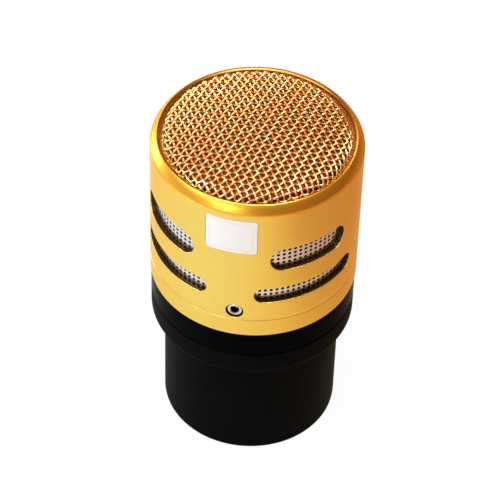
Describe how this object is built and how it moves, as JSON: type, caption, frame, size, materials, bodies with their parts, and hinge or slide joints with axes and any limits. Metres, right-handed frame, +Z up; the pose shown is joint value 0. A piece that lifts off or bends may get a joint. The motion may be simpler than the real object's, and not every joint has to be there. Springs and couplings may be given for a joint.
{
  "type": "microphone capsule",
  "caption": "Dynamic microphone cartridge: slotted gold cap with a woven wire dome over a moving-coil capsule, black retaining ring and rubber boot that slides into a handle.",
  "frame": {"origin": "centre of the boot's foot, on the plane it stands on", "axes": "+Z up along the capsule's axis towards the wire dome; the label faces -Y; +X to the right of the label"},
  "size_m": [0.034, 0.034, 0.0619],
  "materials": {
    "cap_gold": "gold anodised, satin, finely turned",
    "ring_gold": "gold anodised, satin, finely turned",
    "screw_steel": "bright",
    "label_white": "printed foil, semi-gloss",
    "dome_wire": "pale gold plated wire",
    "gauze": "fine bronze gauze",
    "screen": "bright perforated sheet",
    "clamp": "plain turned",
    "silk": "woven silk",
    "foam": "open-cell foam",
    "ring_black": "glossy black",
    "boot_rubber": "matte black",
    "housing": "moulded",
    "plate": "plain turned",
    "film": "thin clear film",
    "copper": "enamelled copper wire",
    "pole_steel": "zinc plated",
    "magnet": "sintered, nickel plated",
    "felt": "pressed felt",
    "board": "laminate",
    "solder_tag": "tinned"
  },
  "bodies": {
    "root": {"rubber_boot": "boot_rubber", "retaining_ring": "ring_black", "base_ring": "ring_gold", "grille_cap": "cap_gold", "set_screw": "screw_steel", "label": "label_white", "mesh_dome": "dome_wire", "inner_gauze": "gauze", "clamp_ring": "clamp", "perforated_screen": "screen", "damping_silk": "silk", "foam_disc": "foam", "capsule_housing": "housing", "front_plate": "plate", "diaphragm": "film", "voice_coil": "copper", "spacer_ring": "plate", "pole_plate": "pole_steel", "pole_piece": "pole_steel", "magnet": "magnet", "yoke": "pole_steel", "felt_pad": "felt", "terminal_board": "board", "terminals": "solder_tag"}
  },
  "joints": []
}
